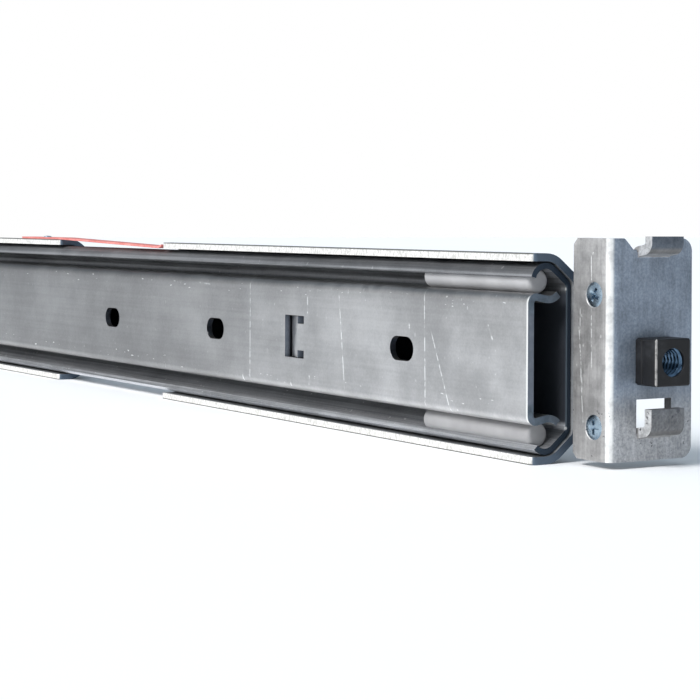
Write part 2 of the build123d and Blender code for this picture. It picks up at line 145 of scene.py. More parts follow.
class Nodes:
    """Short calls that build a node tree."""

    def __init__(self, tree):
        self.tree = tree

    def make(self, kind):
        return self.tree.nodes.new("ShaderNode" + kind)

    def link(self, value, socket):
        if isinstance(value, bpy.types.NodeSocket):
            self.tree.links.new(value, socket)
        else:
            socket.default_value = value

    def math(self, kind, a, b=0.0, c=0.0, clamp=False):
        node = self.make("Math")
        node.operation = kind
        node.use_clamp = clamp
        for socket, value in zip(node.inputs, (a, b, c)):
            self.link(value, socket)
        return node.outputs[0]

    def both(self, *values):
        value = values[0]
        for other in values[1:]:
            value = self.math("MULTIPLY", value, other)
        return value

    def any(self, *values):
        value = values[0]
        for other in values[1:]:
            value = self.math("MAXIMUM", value, other)
        return value

    def axes(self, vector):
        node = self.make("SeparateXYZ")
        self.link(vector, node.inputs[0])
        return node.outputs

    def ramp(self, value, low, high, start=0.0, end=1.0):
        node = self.make("MapRange")
        node.interpolation_type = "SMOOTHSTEP"
        for socket, given in zip(node.inputs, (value, low, high, start, end)):
            self.link(given, socket)
        return node.outputs[0]

    def band(self, value, low, high, soft):
        """1 where value lies between low and high, fading over soft on both sides."""
        rise = self.ramp(value, low - soft, low)
        fall = self.ramp(value, high, high + soft, 1.0, 0.0)
        return self.math("MULTIPLY", rise, fall)

    def mix(self, share, a, b):
        node = self.make("Mix")
        node.data_type = "RGBA"
        self.link(share, node.inputs[0])
        self.link(a, node.inputs[6])
        self.link(b, node.inputs[7])
        return node.outputs[2]

    def scaled(self, vector, factor):
        node = self.make("VectorMath")
        node.operation = "SCALE"
        self.link(vector, node.inputs[0])
        self.link(factor, node.inputs["Scale"])
        return node.outputs[0]


class Surface(Nodes):
    """A material under construction: its colour, roughness and bump so far."""

    def __init__(self, name):
        self.material = bpy.data.materials.new(name)
        self.material.use_nodes = True
        super().__init__(self.material.node_tree)
        self.shader = self.tree.nodes["Principled BSDF"]
        self.coords = self.make("TexCoord").outputs["Object"]
        self.x, self.y, self.z = self.axes(self.scaled(self.coords, 1 / MM))
        self.nx, self.ny, self.nz = self.axes(self.make("NewGeometry").outputs["Normal"])
        self.bumped = None

    def stretched(self, scale):
        node = self.make("Mapping")
        self.link(self.coords, node.inputs["Vector"])
        node.inputs["Scale"].default_value = scale
        return node.outputs[0]

    def noise(self, scale, detail=2.0, rough=0.5, vector=None):
        node = self.make("TexNoise")
        self.link(vector or self.coords, node.inputs["Vector"])
        node.inputs["Scale"].default_value = scale
        node.inputs["Detail"].default_value = detail
        node.inputs["Roughness"].default_value = rough
        return node.outputs["Fac"]

    def cells(self, scale, vector=None):
        node = self.make("TexVoronoi")
        self.link(vector or self.coords, node.inputs["Vector"])
        node.inputs["Scale"].default_value = scale
        return node.outputs["Color"]

    def bump(self, height, strength, distance):
        node = self.make("Bump")
        self.link(height, node.inputs["Height"])
        node.inputs["Strength"].default_value = strength
        node.inputs["Distance"].default_value = distance
        if self.bumped is not None:
            self.link(self.bumped, node.inputs["Normal"])
        self.bumped = node.outputs[0]

    def tint(self, mask, colour):
        self.colour = self.mix(mask, self.colour, colour)

    def dim(self, factor):
        self.colour = self.scaled(self.colour, factor)

    def spot(self, x, y, z, radius):
        """1 inside a small ball about a point in millimetres."""
        node = self.make("VectorMath")
        node.operation = "DISTANCE"
        self.link(self.scaled(self.coords, 1 / MM), node.inputs[0])
        node.inputs[1].default_value = (x, y, z)
        return self.ramp(node.outputs["Value"], radius * 0.4, radius, 1.0, 0.0)

    def scratch(self, start, end, width):
        """1 along a straight line between two (X, Z) points in millimetres."""
        (x0, z0), (x1, z1) = start, end
        length = ((x1 - x0) ** 2 + (z1 - z0) ** 2) ** 0.5
        ux, uz = (x1 - x0) / length, (z1 - z0) / length
        dx = self.math("SUBTRACT", self.x, x0)
        dz = self.math("SUBTRACT", self.z, z0)
        along = self.math("ADD", self.math("MULTIPLY", dx, ux), self.math("MULTIPLY", dz, uz))
        aside = self.math("SUBTRACT", self.math("MULTIPLY", dx, uz), self.math("MULTIPLY", dz, ux))
        near = self.ramp(self.math("ABSOLUTE", aside), width * 0.3, width, 1.0, 0.0)
        return self.math("MULTIPLY", near, self.band(along, 0.0, length, length * 0.15))

    def done(self, **values):
        self.link(self.colour, self.shader.inputs["Base Color"])
        self.link(self.rough, self.shader.inputs["Roughness"])
        self.link(self.bumped, self.shader.inputs["Normal"])
        for name, value in values.items():
            self.shader.inputs[name.replace("_", " ")].default_value = value
        return self.material


def make_camera():
    camera = bpy.data.objects.new("camera", bpy.data.cameras.new("camera"))
    bpy.context.scene.collection.objects.link(camera)
    camera.location = CAMERA_PLACE
    aim = Matrix.Rotation(radians(CAMERA_AZIMUTH), 4, "Z") @ Matrix.Rotation(pi / 2, 4, "X")
    camera.rotation_euler = (aim @ Matrix.Rotation(radians(CAMERA_ROLL), 4, "Z")).to_euler()
    camera.data.lens = LENS
    camera.data.shift_y = (HORIZON_Y - PICTURE_SIZE / 2) / PICTURE_SIZE
    camera.data.clip_start = 0.01
    bpy.context.scene.camera = camera
    bpy.context.scene.view_settings.view_transform = "Standard"


def make_sun():
    data = bpy.data.lights.new("sun", "SUN")
    data.energy = SUN_STRENGTH
    data.angle = radians(SUN_SPREAD)
    sun = bpy.data.objects.new("sun", data)
    bpy.context.scene.collection.objects.link(sun)
    sun.rotation_euler = Vector(SUN_FROM).to_track_quat("Z", "Y").to_euler()


def make_surround():
    """Studio surround, seen only in reflections and as light; its backdrop is plain white."""
    world = bpy.data.worlds.new("studio")
    world.use_nodes = True
    n = Nodes(world.node_tree)
    direction = n.make("TexCoord").outputs["Generated"]
    towards = n.make("VectorMath")
    towards.operation = "DOT_PRODUCT"
    n.link(direction, towards.inputs[0])
    towards.inputs[1].default_value = BRIGHT_SIDE
    glow = n.ramp(towards.outputs["Value"], 0.35, 1.0)
    overhead = n.ramp(n.axes(direction)[2], 0.5, 0.9, 0.0, 0.5)
    light = world.node_tree.nodes["Background"]
    n.link(n.mix(glow, SURROUND_BLUE, SURROUND_WHITE), light.inputs["Color"])
    n.link(n.math("ADD", n.math("MULTIPLY_ADD", glow, 0.75, 0.30), overhead), light.inputs["Strength"])
    backdrop = n.make("Background")
    backdrop.inputs["Color"].default_value = SURROUND_WHITE
    choice = n.make("MixShader")
    n.link(n.make("LightPath").outputs["Is Camera Ray"], choice.inputs[0])
    n.link(light.outputs[0], choice.inputs[1])
    n.link(backdrop.outputs[0], choice.inputs[2])
    n.link(choice.outputs[0], world.node_tree.nodes["World Output"].inputs["Surface"])
    bpy.context.scene.world = world


def sheet(name, light, dark, streaks, spangle, rough, scratches=()):
    """Zinc-coated sheet: crystals, rolling streaks along the rail, specks and scratches."""
    n = Surface(name)
    crystal = n.axes(n.cells(420, n.stretched((1.0, 1.0, 0.75))))[0]
    cloud = n.noise(28, 4.0, 0.6)
    rolled = n.noise(14, 3.0, 0.65, n.stretched((0.8, 60.0, 60.0)))
    grain = n.noise(1800, 2.0, 0.7)
    shade = n.math("MULTIPLY_ADD", n.math("SUBTRACT", crystal, 0.5), spangle * 0.16, 0.5)
    shade = n.math("MULTIPLY_ADD", n.math("SUBTRACT", cloud, 0.5), 0.75, shade)
    shade = n.math("MULTIPLY_ADD", n.math("SUBTRACT", rolled, 0.5), streaks, shade)
    shade = n.math("MULTIPLY_ADD", n.math("SUBTRACT", grain, 0.5), 0.30, shade)
    n.colour = n.mix(n.ramp(shade, 0.2, 0.8), (*dark, 1), (*light, 1))
    specks = n.noise(900, 1.0, 0.5, n.stretched((1.0, 1.0, 0.55)))
    marks = n.ramp(specks, 0.735, 0.76, 0.0, 0.5)
    for start, end, width in scratches:
        marks = n.any(marks, n.scratch(start, end, width))
    broken = n.ramp(n.noise(700, 2.0, 0.6), 0.42, 0.56)
    n.marks = n.math("MULTIPLY", marks, n.math("MULTIPLY_ADD", broken, 0.75, 0.1))
    n.tint(n.marks, SCRATCH_WHITE)
    n.rough = n.math("MULTIPLY_ADD", crystal, 0.10, rough)
    n.rough = n.math("MULTIPLY_ADD", cloud, 0.14, n.rough)
    n.bump(grain, 0.12, 0.00004)
    n.bump(rolled, 0.25, 0.00003)
    n.bump(n.math("SUBTRACT", 0.5, n.marks), 0.3, 0.00005)
    n.grain = grain
    return n


def web_steel():
    """Inner member: pale flat web with painted shade towards its top and rear and painted light low
    down, bare sheared front edge with a painted highlight, painted dark inside.
    """
    light, dark = (0.585, 0.58, 0.58), (0.385, 0.38, 0.38)
    n = sheet("web_galvanised", light, dark, 0.30, 0.35, 0.26, WEB_SCRATCHES)
    # Painted shade: the web is darker towards the rear, to -X.
    n.dim(n.ramp(n.x, -200.0, -35.0, 0.62, 1.0))
    # Painted shade: the web is darker towards its top, under the upper roll.
    n.dim(n.ramp(n.z, 1.0, 14.0, 1.0, 0.88))
    n.dim(n.ramp(n.noise(55, 5.0, 0.7), 0.32, 0.68, 0.90, 1.10))
    # Painted shade: faces turned up or down are darker.
    n.dim(n.ramp(n.math("ABSOLUTE", n.nz), 0.3, 0.8, 1.0, 0.75))
    flecks = n.noise(1000, 1.0, 0.4, n.stretched((0.5, 1.0, 1.6)))
    rows = n.any(n.band(n.z, 9.6, 11.4, 0.5), n.band(n.z, -11.2, -9.0, 0.5))
    n.tint(n.both(n.ramp(flecks, 0.70, 0.74, 0.0, 0.7), rows), SCRATCH_WHITE)
    # Painted shade: the web's faces turned to +Y, inside the channel, are made near-black.
    n.tint(n.ramp(n.ny, 0.2, 0.5), CAVITY_SHADE)
    # Painted shade along the web's top rim, under the upper roll.
    rim_shade = n.ramp(n.z, 9.5, 12.0)
    n.dim(n.math("MULTIPLY_ADD", rim_shade, -0.15, 1.0))
    # Painted light: the lowest strip of the web is brightened.
    n.dim(n.ramp(n.z, -13.0, -11.0, 1.7, 1.0))
    # Cut end faces: dark cut steel, tinted blue as a painted sky reflection.
    ends = n.ramp(n.nx, 0.5, 0.8)
    cut = n.mix(n.noise(700, 3.0, 0.6), (0.15, 0.17, 0.21, 1), (0.28, 0.31, 0.36, 1))
    n.tint(ends, cut)
    # The flange tips' end faces: dark cut steel mottled with a painted blue reflection and highlight.
    tips = n.any(n.ramp(n.z, 8.5, 9.5), n.ramp(n.z, -9.5, -8.5, 1.0, 0.0))
    tip_cut_reflection = n.mix(n.noise(500, 3.0, 0.6), (0.05, 0.07, 0.09, 1), (0.30, 0.35, 0.41, 1))
    n.tint(n.both(ends, tips), tip_cut_reflection)
    # Painted highlight: a near-white line along the web's sheared front edge, on faces turned to -Y.
    burr_highlight = n.band(n.x, WEB_FRONT - 0.45, WEB_FRONT + 1.0, 0.12)
    n.tint(n.both(burr_highlight, n.ramp(n.ny, -0.9, -0.5, 1.0, 0.0)), HIGHLIGHT_WHITE)
    return n.done(Metallic=1.0)


def rail_steel():
    """Outer member: darker rolls with rolling lines, painted shade on faces turned up and deep inside,
    painted light on its lower half, painted highlights and glints at its front bends.
    """
    n = sheet("rail_galvanised", (0.42, 0.425, 0.44), (0.22, 0.225, 0.235), 1.0, 0.2, 0.42)
    lines = n.noise(9, 4.0, 0.7, n.stretched((1.0, 220.0, 220.0)))
    n.dim(n.ramp(lines, 0.35, 0.65, 0.75, 1.15))
    # Painted shade on faces turned up; painted light on the lower half.
    n.dim(n.both(n.ramp(n.nz, 0.1, 0.6, 1.0, 0.5), n.ramp(n.z, -2.0, 2.0, 2.2, 1.0)))
    # Painted shade: the outer member's inside faces deep in the channel are made near-black.
    deep = n.ramp(n.y, RAIL_BACK_Y - 5.5, RAIL_BACK_Y - 3.5)
    inside = n.ramp(n.ny, 0.2, 0.5, 1.0, 0.0)
    n.tint(n.both(deep, n.band(n.z, -12.5, 12.5, 1.5), inside), CAVITY_SHADE)
    # Cut end faces: dark cut steel tinted blue as a painted sky reflection.
    ends = n.ramp(n.nx, 0.5, 0.8)
    n.tint(ends, NAVY)
    # Painted highlight: a lighter line along the inner edge of the end face.
    inner_edge_highlight = n.band(n.y, RAIL_BACK_Y - 1.3, RAIL_BACK_Y - 0.85, 0.1)
    n.tint(n.both(ends, inner_edge_highlight, n.band(n.z, -14.0, 14.0, 1.0)), (0.16, 0.20, 0.24, 1))
    # Painted glints: near-white spots at the front bends.
    upper_glint = n.spot(RAIL_FRONT, RAIL_BACK_Y - 1.4, 13.8, 0.5)
    lower_glint = n.spot(RAIL_FRONT, RAIL_BACK_Y - 1.1, -14.1, 0.45)
    n.tint(n.any(upper_glint, lower_glint), HIGHLIGHT_WHITE)
    return n.done(Metallic=0.75)


def sleeve_steel():
    """Sleeves: bright sheared lip edges with torn lines and painted dark edge lines, dull faces with
    painted shade behind the lips, dark cut ends tinted blue as a painted reflection.
    """
    n = sheet("sleeve_galvanised", (0.46, 0.47, 0.48), (0.26, 0.27, 0.28), 0.5, 0.4, 0.40)
    sheared = n.noise(2200, 4.0, 0.75, n.stretched((1.2, 1.0, 0.5)))
    # Painted shade: faces behind and under the lips are darker.
    inside = n.both(n.ramp(n.ny, -0.7, -0.4), n.ramp(n.y, SLEEVE_LIP_Y + 0.4, SLEEVE_LIP_Y + 1.2))
    n.dim(n.math("MULTIPLY_ADD", inside, -0.55, 1.0))
    lip = n.ramp(n.ny, -0.8, -0.5, 1.0, 0.0)
    torn = n.mix(n.ramp(sheared, 0.35, 0.62), (0.58, 0.57, 0.545, 1), (0.88, 0.87, 0.84, 1))
    n.tint(n.both(lip, n.ramp(n.y, SLEEVE_LIP_Y + 0.5, SLEEVE_LIP_Y + 1.0, 1.0, 0.0)), torn)
    # Painted shade: a dark line along the lips' top and bottom edges.
    rim_shade = n.ramp(n.math("ABSOLUTE", n.z), SLEEVE_TOP - 0.35, SLEEVE_TOP - 0.1)
    n.tint(n.both(lip, rim_shade), (0.12, 0.12, 0.115, 1))
    # Cut end faces: dark cut steel tinted blue as a painted sky reflection.
    n.tint(n.ramp(n.nx, 0.5, 0.8), CUT_BLUE)
    n.rough = n.math("MULTIPLY_ADD", lip, 0.2, n.rough)
    return n.done(Metallic=0.75)


def plate_steel():
    """Brackets: mottled plate painted lighter at top and bottom, a painted highlight on the bend, a
    flange in painted blue-grey shade and reflection with a speckled foot, painted shade on the hooks.
    """
    light, dark = (0.47, 0.46, 0.455), (0.27, 0.265, 0.262)
    n = sheet("plate_galvanised", light, dark, 0.25, 0.9, 0.36, PLATE_SCRATCHES)
    # Painted light: the plate is lighter towards its top and towards its bottom edge.
    n.dim(n.ramp(n.z, 8.0, 22.0, 0.9, 1.12))
    n.dim(n.ramp(n.z, -18.0, -8.0, 1.15, 1.0))
    blotch = n.noise(260, 4.0, 0.65)
    drawn = n.noise(1.2, 5.0, 0.75, n.stretched((900.0, 900.0, 60.0)))
    # Painted shade and sky reflection: the flange's faces turned along X take a darker blue-grey; its
    # lower foot takes a lighter speckled grit of its own.
    flange = n.ramp(n.math("ABSOLUTE", n.nx), 0.75, 0.95)
    cool = n.mix(n.ramp(n.grain, 0.3, 0.7), (0.22, 0.26, 0.32, 1), (0.31, 0.355, 0.42, 1))
    grit = n.ramp(n.noise(1500, 5.0, 0.75), 0.30, 0.68)
    foot = n.mix(grit, (0.30, 0.31, 0.33, 1), (0.56, 0.56, 0.57, 1))
    n.tint(flange, n.mix(n.ramp(n.z, -12.0, -4.0, 1.0, 0.0), cool, foot))
    n.dim(n.ramp(drawn, 0.30, 0.70, 0.85, 1.08))
    n.dim(n.ramp(blotch, 0.3, 0.7, 0.84, 1.12))
    # Painted highlight: a near-white streak along the start of the bend.
    turning = n.band(n.nx, 0.52, 0.84, 0.12)
    bend = n.both(turning, n.ramp(n.x, -2.6, -2.3), n.ramp(n.ny, -0.5, -0.2, 1.0, 0.0))
    n.tint(n.math("MULTIPLY", bend, n.ramp(blotch, 0.3, 0.6, 0.4, 0.8)), HIGHLIGHT_WHITE)
    hooks = n.ramp(n.x, 0.25, 0.5)
    # Painted shade: the hooks' faces turned forward, to +X, are darker.
    n.dim(n.math("MULTIPLY_ADD", n.both(hooks, n.ramp(n.nx, 0.2, 0.6)), -0.55, 1.0))
    rubs = n.ramp(n.noise(900, 3.0, 0.7), 0.35, 0.65)
    rubbed = n.mix(rubs, (0.42, 0.42, 0.42, 1), (0.68, 0.68, 0.68, 1))
    n.tint(n.both(hooks, n.ramp(n.ny, -0.9, -0.6, 1.0, 0.0)), rubbed)
    # Painted shade: the hooks' faces turned up are darker.
    n.dim(n.math("MULTIPLY_ADD", n.both(hooks, n.ramp(n.nz, 0.1, 0.5)), -0.5, 1.0))
    dints = n.ramp(n.noise(520, 4.0, 0.65), 0.63, 0.69)
    n.tint(n.both(dints, n.ramp(n.z, -14.0, -4.0, 1.0, 0.15)), (0.06, 0.06, 0.07, 1))
    n.rough = n.math("MULTIPLY_ADD", blotch, 0.10, n.rough)
    n.bump(blotch, 0.2, 0.00006)
    return n.done(Metallic=0.6)


def zinc():
    """Bright blue passivated zinc plating of the fasteners."""
    n = Surface("zinc_plating")
    mottled = n.noise(300, 4.0, 0.6)
    n.colour = n.mix(n.ramp(mottled, 0.35, 0.65), (0.20, 0.27, 0.34, 1), (0.40, 0.50, 0.58, 1))
    n.rough = n.math("MULTIPLY_ADD", mottled, 0.18, 0.18)
    n.bump(n.noise(3000, 2.0, 0.6), 0.15, 0.00002)
    return n.done(Metallic=1.0)


def dark_zinc():
    """The threaded bush: blue-black in its bore."""
    n = Surface("dark_zinc")
    mottled = n.noise(400, 3.0, 0.6)
    n.colour = n.mix(n.ramp(mottled, 0.35, 0.65), (0.05, 0.09, 0.14, 1), (0.12, 0.19, 0.28, 1))
    n.rough = n.math("MULTIPLY_ADD", mottled, 0.15, 0.16)
    n.bump(n.noise(2500, 2.0, 0.6), 0.1, 0.00002)
    return n.done(Metallic=1.0)


def black_plastic(name, worn, corners=()):
    """Moulded black polymer with a fine grain, rubbed patches, and a painted highlight along the given
    corners.
    """
    n = Surface(name)
    rub = n.noise(160, 4.0, 0.65)
    patches = n.ramp(rub, 0.5, 0.75, 0.0, worn)
    n.colour = n.mix(patches, (0.008, 0.008, 0.009, 1), (0.045, 0.047, 0.052, 1))
    # Painted highlight: a broken light line along each given corner.
    corner_highlight = n.ramp(n.noise(900, 3.0, 0.7), 0.25, 0.55)
    for x, y, width in corners:
        across = n.band(n.x, x - width, x + width, 0.08)
        near = n.both(across, n.band(n.y, y - width, y + width, 0.08))
        n.tint(n.both(near, corner_highlight), (0.30, 0.29, 0.28, 1))
    n.rough = n.math("MULTIPLY_ADD", rub, 0.2, 0.34)
    n.bump(n.noise(2600, 3.0, 0.6), 0.25, 0.00004)
    return n.done(Specular_IOR_Level=0.3)


def nylon():
    """Milky glide rods, slightly translucent, with faint drawn lines along them."""
    n = Surface("white_nylon")
    drawn = n.noise(60, 3.0, 0.6, n.stretched((0.6, 14.0, 14.0)))
    cloud = n.noise(110, 3.0, 0.5)
    n.colour = n.mix(n.ramp(cloud, 0.3, 0.7), (0.36, 0.355, 0.36, 1), (0.44, 0.435, 0.44, 1))
    # Painted shade: the lower rods, below the middle, are darker.
    n.dim(n.ramp(n.z, -2.0, 2.0, 0.74, 1.0))
    n.rough = n.math("MULTIPLY_ADD", drawn, 0.15, 0.38)
    n.bump(drawn, 0.1, 0.00003)
    n.shader.subsurface_method = "RANDOM_WALK"
    reach = (0.0012, 0.0011, 0.0010)
    return n.done(Subsurface_Weight=0.3, Subsurface_Radius=reach, Subsurface_Scale=1.0)


def rubber():
    n = Surface("bumper_rubber")
    dust = n.noise(120, 3.0, 0.6)
    n.colour = n.mix(n.ramp(dust, 0.4, 0.8), (0.02, 0.02, 0.02, 1), (0.06, 0.06, 0.06, 1))
    n.rough = n.math("MULTIPLY_ADD", dust, 0.2, 0.65)
    n.bump(n.noise(900, 4.0, 0.7), 0.4, 0.00008)
    return n.done()


def red_paint():
    n = Surface("red_paint")
    wear = n.noise(120, 5.0, 0.7)
    n.colour = n.mix(n.ramp(wear, 0.35, 0.7), (0.55, 0.14, 0.12, 1), (0.75, 0.28, 0.25, 1))
    n.tint(n.ramp(n.noise(420, 3.0, 0.6), 0.70, 0.73), (0.45, 0.44, 0.43, 1))
    n.rough = n.math("MULTIPLY_ADD", wear, 0.2, 0.32)
    n.bump(n.noise(900, 2.0, 0.5), 0.15, 0.00004)
    return n.done()


def floor_paint():
    n = Surface("pale_floor")
    cloud = n.noise(3, 3.0, 0.5)
    n.colour = n.mix(cloud, (0.86, 0.86, 0.86, 1), (0.90, 0.90, 0.90, 1))
    n.rough = n.math("MULTIPLY_ADD", cloud, 0.1, 0.75)
    n.bump(n.noise(200, 2.0, 0.5), 0.05, 0.0001)
    return n.done()


def add_piece(name, mesh, node, material):
    """Put a finished mesh in the scene in the place of a CAD node."""
    piece = bpy.data.objects.new(name, mesh)
    bpy.context.scene.collection.objects.link(piece)
    mesh.materials.clear()
    mesh.materials.append(material)
    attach(piece, frame["nodes"][node]["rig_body"])
    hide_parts(node)
    return piece


def round_edges(piece, width):
    rounding = piece.modifiers.new("edge_rounding", "BEVEL")
    rounding.width = width
    rounding.segments = 2
    rounding.limit_method = "ANGLE"
    rounding.angle_limit = radians(35)
    flatten = piece.modifiers.new("flat_faces", "WEIGHTED_NORMAL")
    flatten.keep_sharp = True


def dressed(node, material, bevel):
    """A copy of a CAD node with its faces joined and its sharp edges slightly rounded."""
    mesh = frame["nodes"][node].data.copy()
    work = bmesh.new()
    work.from_mesh(mesh)
    bmesh.ops.remove_doubles(work, verts=work.verts, dist=2e-6)
    bmesh.ops.dissolve_limit(work, angle_limit=radians(0.6), verts=work.verts, edges=work.edges)
    work.to_mesh(mesh)
    work.free()
    mesh.shade_smooth()
    round_edges(add_piece(f"{node}_finished", mesh, node, material), bevel)


def rings(work, profile, steps, radius_at=None):
    """Rings of vertices about +X through (along, radius) points; a zero radius is one vertex."""
    made = []
    for along, radius in profile:
        if radius == 0:
            made.append([work.verts.new((along, 0, 0))])
            continue
        ring = []
        for i in range(steps):
            angle = 2 * pi * i / steps
            at, reach = radius_at(along, radius, angle) if radius_at else (along, radius)
            ring.append(work.verts.new((at, reach * cos(angle), reach * sin(angle))))
        made.append(ring)
    return made


def skin(work, made, closed):
    """Faces between neighbouring rings."""
    pairs = list(zip(made, made[1:]))
    if closed:
        pairs.append((made[-1], made[0]))
    for a, b in pairs:
        count = max(len(a), len(b))
        for i in range(count):
            j = (i + 1) % count
            corners = [a[i % len(a)], a[j % len(a)], b[j % len(b)], b[i % len(b)]]
            work.faces.new(list(dict.fromkeys(corners)))


def lathed(profile, steps=64, closed=False, radius_at=None):
    """A turned shape about +X, smooth except at its sharp edges."""
    work = bmesh.new()
    skin(work, rings(work, profile, steps, radius_at), closed)
    bmesh.ops.recalc_face_normals(work, faces=work.faces)
    mesh = bpy.data.meshes.new("turned")
    work.to_mesh(mesh)
    work.free()
    mesh.shade_smooth()
    mesh.set_sharp_from_angle(angle=radians(32))
    return mesh


AXIS_TURNS = {
    "+X": Matrix.Identity(4),
    "-X": Matrix.Rotation(pi, 4, "Z"),
    "+Y": Matrix.Rotation(pi / 2, 4, "Z"),
    "+Z": Matrix.Rotation(-pi / 2, 4, "Y"),
}


def placed(mesh, place, axis):
    mesh.transform(Matrix.Translation(place) @ AXIS_TURNS[axis])
    return mesh


def joined(meshes):
    work = bmesh.new()
    for mesh in meshes:
        work.from_mesh(mesh)
    whole = bpy.data.meshes.new("joined")
    work.to_mesh(whole)
    work.free()
    return whole


def carved(mesh, cutter):
    """The mesh with a cutter's shape taken out of it."""
    body = bpy.data.objects.new("body", mesh)
    tool = bpy.data.objects.new("tool", cutter)
    for piece in (body, tool):
        bpy.context.scene.collection.objects.link(piece)
    cut = body.modifiers.new("cut", "BOOLEAN")
    cut.operation = "DIFFERENCE"
    cut.solver = "EXACT"
    cut.use_self = True
    cut.object = tool
    bpy.context.view_layer.update()
    result = bpy.data.meshes.new_from_object(body.evaluated_get(bpy.context.evaluated_depsgraph_get()))
    bpy.data.objects.remove(body)
    bpy.data.objects.remove(tool)
    return result


def box_of(node):
    low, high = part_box(node)
    return low, high, (low + high) / 2


def glide(node, material):
    """Rod with softly rounded ends."""
    low, high, middle = box_of(node)
    length, radius = high.x - low.x, (high.z - low.z) / 2
    soft = ROD_END_ROUNDING
    angles = [radians(degrees) for degrees in range(0, 91, 15)]
    arc = [(soft * (1 - cos(a)), radius - soft * (1 - sin(a))) for a in angles]
    profile = [(0, 0), *arc, *[(length - along, r) for along, r in reversed(arc)], (length, 0)]
    mesh = placed(lathed(profile, 48), (low.x, middle.y, middle.z), "+X")
    add_piece(f"{node}_rod", mesh, node, material)


def cross_cutter(reach, width, depth):
    """Tapered cross that cuts a screw's recess from the head's face inward along +X."""
    work = bmesh.new()
    for turn in (0, pi / 2):
        corners = []
        for along, share in ((-depth * 0.3, 1.12), (depth, 0.45)):
            for side in (-1, 1):
                for end in (-1, 1):
                    u, v = end * reach * share, side * width * (0.6 + 0.4 * share)
                    y, z = u * cos(turn) - v * sin(turn), u * sin(turn) + v * cos(turn)
                    corners.append(work.verts.new((along, y, z)))
        bmesh.ops.convex_hull(work, input=corners)
    bmesh.ops.recalc_face_normals(work, faces=work.faces)
    mesh = bpy.data.meshes.new("cross")
    work.to_mesh(mesh)
    work.free()
    return mesh


def screws(node, material):
    """Two countersunk screws with a crowned head and a cross recess."""
    low, high, middle = box_of(node)
    radius, length = (high.x - low.x) / 2, high.y - low.y
    crown = [
        (SCREW_CROWN - SCREW_CROWN * (1 - share ** 2), radius * 0.93 * share)
        for share in (0.25, 0.5, 0.75, 1.0)
    ]
    profile = [
        (0, 0),
        *crown,
        (SCREW_RIM_DEPTH, radius),
        (SCREW_HEAD_DEPTH, SCREW_SHANK_RADIUS),
        (length - 0.4 * MM, SCREW_SHANK_RADIUS),
        (length, SCREW_SHANK_RADIUS * 0.7),
        (length, 0),
    ]
    meshes = []
    for z, turn in ((low.z + radius, 0.0), (high.z - radius, 0.5)):
        cutter = cross_cutter(CROSS_REACH, CROSS_WIDTH, CROSS_DEPTH)
        cutter.transform(Matrix.Rotation(turn, 4, "X"))
        screw = carved(lathed(profile), cutter)
        meshes.append(placed(screw, (middle.x, low.y, z), "+Y"))
    add_piece(f"{node}_cross_heads", joined(meshes), node, material)


def ridge(along, angle, pitch):
    """0 in a thread's groove and 1 on its crest."""
    phase = (along / pitch - angle / (2 * pi)) % 1.0
    return min(1.0, max(0.0, 1.5 - 2.6 * abs(phase - 0.5) * 1.25))


def threaded_insert(node, axis, material):
    """Headed bush whose bore carries a real helical thread."""
    low, high, middle = box_of(node)
    head_radius, length = (high.z - low.z) / 2, high.x - low.x
    count = int(length / BORE_PITCH * RINGS_PER_TURN)
    mouth = BORE_RADIUS + BORE_THREAD_DEPTH
    outside = [
        (0, mouth),
        (0, head_radius),
        (BUSH_HEAD_DEPTH, head_radius),
        (BUSH_HEAD_DEPTH, BUSH_RADIUS),
        (length, BUSH_RADIUS),
        (length, mouth),
    ]
    inside = [(length - length * i / count, BORE_RADIUS) for i in range(1, count)]

    def shaped(along, radius, angle):
        if radius != BORE_RADIUS:
            return along, radius
        fade = min(1.0, (length - along) / (0.8 * MM), along / (0.8 * MM))
        return along, BORE_RADIUS + BORE_THREAD_DEPTH * (1 - ridge(along, angle, BORE_PITCH) * fade)

    mesh = lathed(outside + inside, 72, True, shaped)
    start = low.x if axis == "+X" else high.x
    add_piece(f"{node}_threaded", placed(mesh, (start, middle.y, middle.z), axis), node, material)


def studs(node, material):
    """Two studs clinched in the web, threaded where the nuts go."""
    low, high, middle = box_of(node)
    radius, length = (high.z - low.z) / 2, high.y - low.y
    plain = STUD_PLAIN_LENGTH
    count = int((length - plain) / STUD_PITCH * RINGS_PER_TURN)
    profile = [(0, 0), (0, radius * 0.98), (plain, radius * 0.98)]
    profile += [(plain + (length - plain) * i / count, radius) for i in range(1, count + 1)]
    profile += [(length, 0)]

    def shaped(along, at, angle):
        if at != radius:
            return along, at
        tip = max(0.0, along - (length - 0.6 * MM))
        return along, radius - STUD_THREAD_DEPTH * (1 - ridge(along, angle, STUD_PITCH)) - tip * 0.7

    meshes = []
    for x in (low.x + radius, high.x - radius):
        meshes.append(placed(lathed(profile, 48, False, shaped), (x, low.y, middle.z), "+Y"))
    add_piece(f"{node}_threaded", joined(meshes), node, material)


def washers(node, material):
    low, high, middle = box_of(node)
    radius, height = (high.z - low.z) / 2, high.y - low.y
    bore, edge = WASHER_BORE_RADIUS, WASHER_EDGE
    profile = [
        (0, bore),
        (0, radius - edge),
        (edge, radius),
        (height - edge, radius),
        (height, radius - edge),
        (height, bore),
    ]
    meshes = []
    for x in (low.x + radius, high.x - radius):
        meshes.append(placed(lathed(profile, 64, True), (x, low.y, middle.z), "+Y"))
    add_piece(f"{node}_turned", joined(meshes), node, material)


